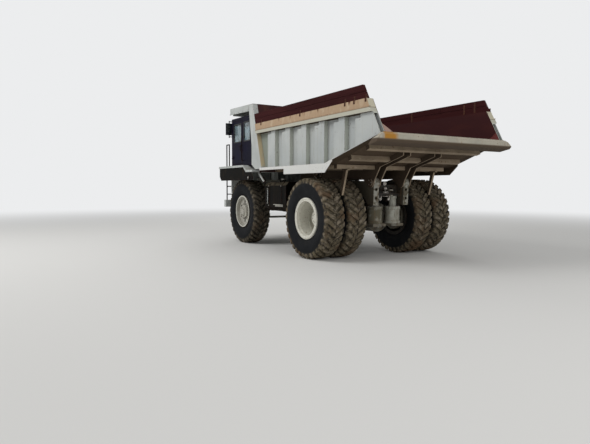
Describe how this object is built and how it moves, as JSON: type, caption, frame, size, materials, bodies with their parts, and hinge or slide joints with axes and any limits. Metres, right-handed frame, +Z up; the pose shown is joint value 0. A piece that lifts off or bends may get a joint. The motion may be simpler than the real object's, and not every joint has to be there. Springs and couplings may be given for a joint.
{
  "type": "rigid dump truck",
  "caption": "Rigid two-axle haul truck with a tipping bed under a canopy, a left-hand cab, steered front wheels, twin rear wheels and telescopic hoists.",
  "frame": {"origin": "on the ground, under the middle of the truck's box", "axes": "+X forward to the bumper, +Y to the left where the cab is, +Z up"},
  "size_m": [8.08, 3.78, 3.976],
  "materials": {
    "body_paint": "weathered pale grey-white paint with rust runs",
    "frame_paint": "dirty pale grey paint, dusty and oily",
    "dark_paint": "near-black paint, dusty",
    "cab_paint": "dark navy paint, semi-gloss",
    "glass": "clear, dusty",
    "trim": "black vinyl",
    "cast": "oily cast iron",
    "wheel_paint": "pale grey paint, dusty",
    "rubber_tyre": "worn dusty rubber",
    "bed_steel": "rusted dark red-brown steel",
    "under_paint": "dirty grey-brown paint",
    "boards": "dark red-brown planks",
    "chrome_rod": "polished hoist rod"
  },
  "bodies": {
    "chassis": {"frame": "frame_paint", "bumper": "body_paint", "nose_panel": "body_paint", "hood": "body_paint", "engine_block": "cast", "transmission": "cast", "deck": "body_paint", "skirts": "dark_paint", "cab_shell": "cab_paint", "cab_glass": "glass", "cab_inside": "trim", "ladder": "body_paint", "mirrors": "cab_paint", "air_cleaner": "body_paint", "fuel_tank": "dark_paint", "hydraulic_tank": "dark_paint", "strut_tubes": "frame_paint", "rear_axle": "frame_paint", "rear_struts": "frame_paint"},
    "cab_door": {"cab_door": "cab_paint", "door_glass": "glass"},
    "bed": {"bed_floor": "bed_steel", "bed_side_left": "body_paint", "bed_side_right": "body_paint", "headboard": "body_paint", "canopy": "body_paint", "tail_lip": "body_paint", "bed_underframe": "under_paint", "side_boards": "boards", "rock_ejectors": "frame_paint"},
    "tie_rod": {"tie_rod": "frame_paint"},
    "knuckle_left": {"knuckle_left": "frame_paint"},
    "front_wheel_left": {"tyre_front_left": "rubber_tyre", "rim_front_left": "wheel_paint"},
    "rear_wheels_left": {"tyres_rear_left": "rubber_tyre", "rims_rear_left": "wheel_paint"},
    "hoist_barrel_left": {"hoist_barrel_left": "frame_paint"},
    "hoist_sleeve_left": {"hoist_sleeve_left": "chrome_rod"},
    "hoist_rod_left": {"hoist_rod_left": "chrome_rod"},
    "knuckle_right": {"knuckle_right": "frame_paint"},
    "front_wheel_right": {"tyre_front_right": "rubber_tyre", "rim_front_right": "wheel_paint"},
    "rear_wheels_right": {"tyres_rear_right": "rubber_tyre", "rims_rear_right": "wheel_paint"},
    "hoist_barrel_right": {"hoist_barrel_right": "frame_paint"},
    "hoist_sleeve_right": {"hoist_sleeve_right": "chrome_rod"},
    "hoist_rod_right": {"hoist_rod_right": "chrome_rod"}
  },
  "joints": [
    {"name": "bed_tip", "type": "hinge", "parent": "chassis", "child": "bed", "pos_m": [-2.19, 0, 1.76], "axis": [0, -1, 0], "range_deg": [0, 52]},
    {"name": "door_swing", "type": "hinge", "parent": "chassis", "child": "cab_door", "pos_m": [2.945, 1.718, 2.9], "axis": [0, 0, -1], "range_deg": [0, 75]},
    {"name": "steer_left", "type": "hinge", "parent": "chassis", "child": "knuckle_left", "pos_m": [2.5, 0.98, 0.93], "axis": [0, 0, 1], "range_deg": [-36, 36]},
    {"name": "front_wheel_left_spin", "type": "hinge", "parent": "knuckle_left", "child": "front_wheel_left", "pos_m": [2.5, 1.38, 0.93], "axis": [0, 1, 0], "continuous": true},
    {"name": "rear_wheels_left_spin", "type": "hinge", "parent": "chassis", "child": "rear_wheels_left", "pos_m": [-1.44, 1.31, 0.93], "axis": [0, 1, 0], "continuous": true},
    {"name": "hoist_lean_left", "type": "hinge", "parent": "chassis", "child": "hoist_barrel_left", "pos_m": [-0.29, 0.655, 0.72], "axis": [0, -1, 0], "range_deg": [0, 24.85]},
    {"name": "hoist_stage_1_left", "type": "slide", "parent": "hoist_barrel_left", "child": "hoist_sleeve_left", "axis": [0.1592, 0, 0.9872], "range_m": [0, 0.842]},
    {"name": "hoist_stage_2_left", "type": "slide", "parent": "hoist_sleeve_left", "child": "hoist_rod_left", "axis": [0.1592, 0, 0.9872], "range_m": [0, 0.842]},
    {"name": "steer_right", "type": "hinge", "parent": "chassis", "child": "knuckle_right", "pos_m": [2.5, -0.98, 0.93], "axis": [0, 0, 1], "range_deg": [-36, 36]},
    {"name": "front_wheel_right_spin", "type": "hinge", "parent": "knuckle_right", "child": "front_wheel_right", "pos_m": [2.5, -1.38, 0.93], "axis": [0, 1, 0], "continuous": true},
    {"name": "rear_wheels_right_spin", "type": "hinge", "parent": "chassis", "child": "rear_wheels_right", "pos_m": [-1.44, -1.31, 0.93], "axis": [0, 1, 0], "continuous": true},
    {"name": "hoist_lean_right", "type": "hinge", "parent": "chassis", "child": "hoist_barrel_right", "pos_m": [-0.29, -0.655, 0.72], "axis": [0, -1, 0], "range_deg": [0, 24.85]},
    {"name": "hoist_stage_1_right", "type": "slide", "parent": "hoist_barrel_right", "child": "hoist_sleeve_right", "axis": [0.1592, 0, 0.9872], "range_m": [0, 0.842]},
    {"name": "hoist_stage_2_right", "type": "slide", "parent": "hoist_sleeve_right", "child": "hoist_rod_right", "axis": [0.1592, 0, 0.9872], "range_m": [0, 0.842]},
    {"name": "tie_rod_slide", "type": "slide", "parent": "chassis", "child": "tie_rod", "axis": [0, 1, 0], "range_m": [-0.18, 0.18]}
  ],
  "couplings": [
    {"joint": "hoist_lean_left", "follows": "bed_tip", "ratio": 0.46818},
    {"joint": "hoist_stage_1_left", "follows": "bed_tip", "m_per_rad": 0.91665},
    {"joint": "hoist_stage_2_left", "follows": "bed_tip", "m_per_rad": 0.91665},
    {"joint": "steer_right", "follows": "steer_left", "ratio": 1},
    {"joint": "hoist_lean_right", "follows": "bed_tip", "ratio": 0.46818},
    {"joint": "hoist_stage_1_right", "follows": "bed_tip", "m_per_rad": 0.91665},
    {"joint": "hoist_stage_2_right", "follows": "bed_tip", "m_per_rad": 0.91665},
    {"joint": "tie_rod_slide", "follows": "steer_left", "m_per_rad": -0.28065}
  ]
}
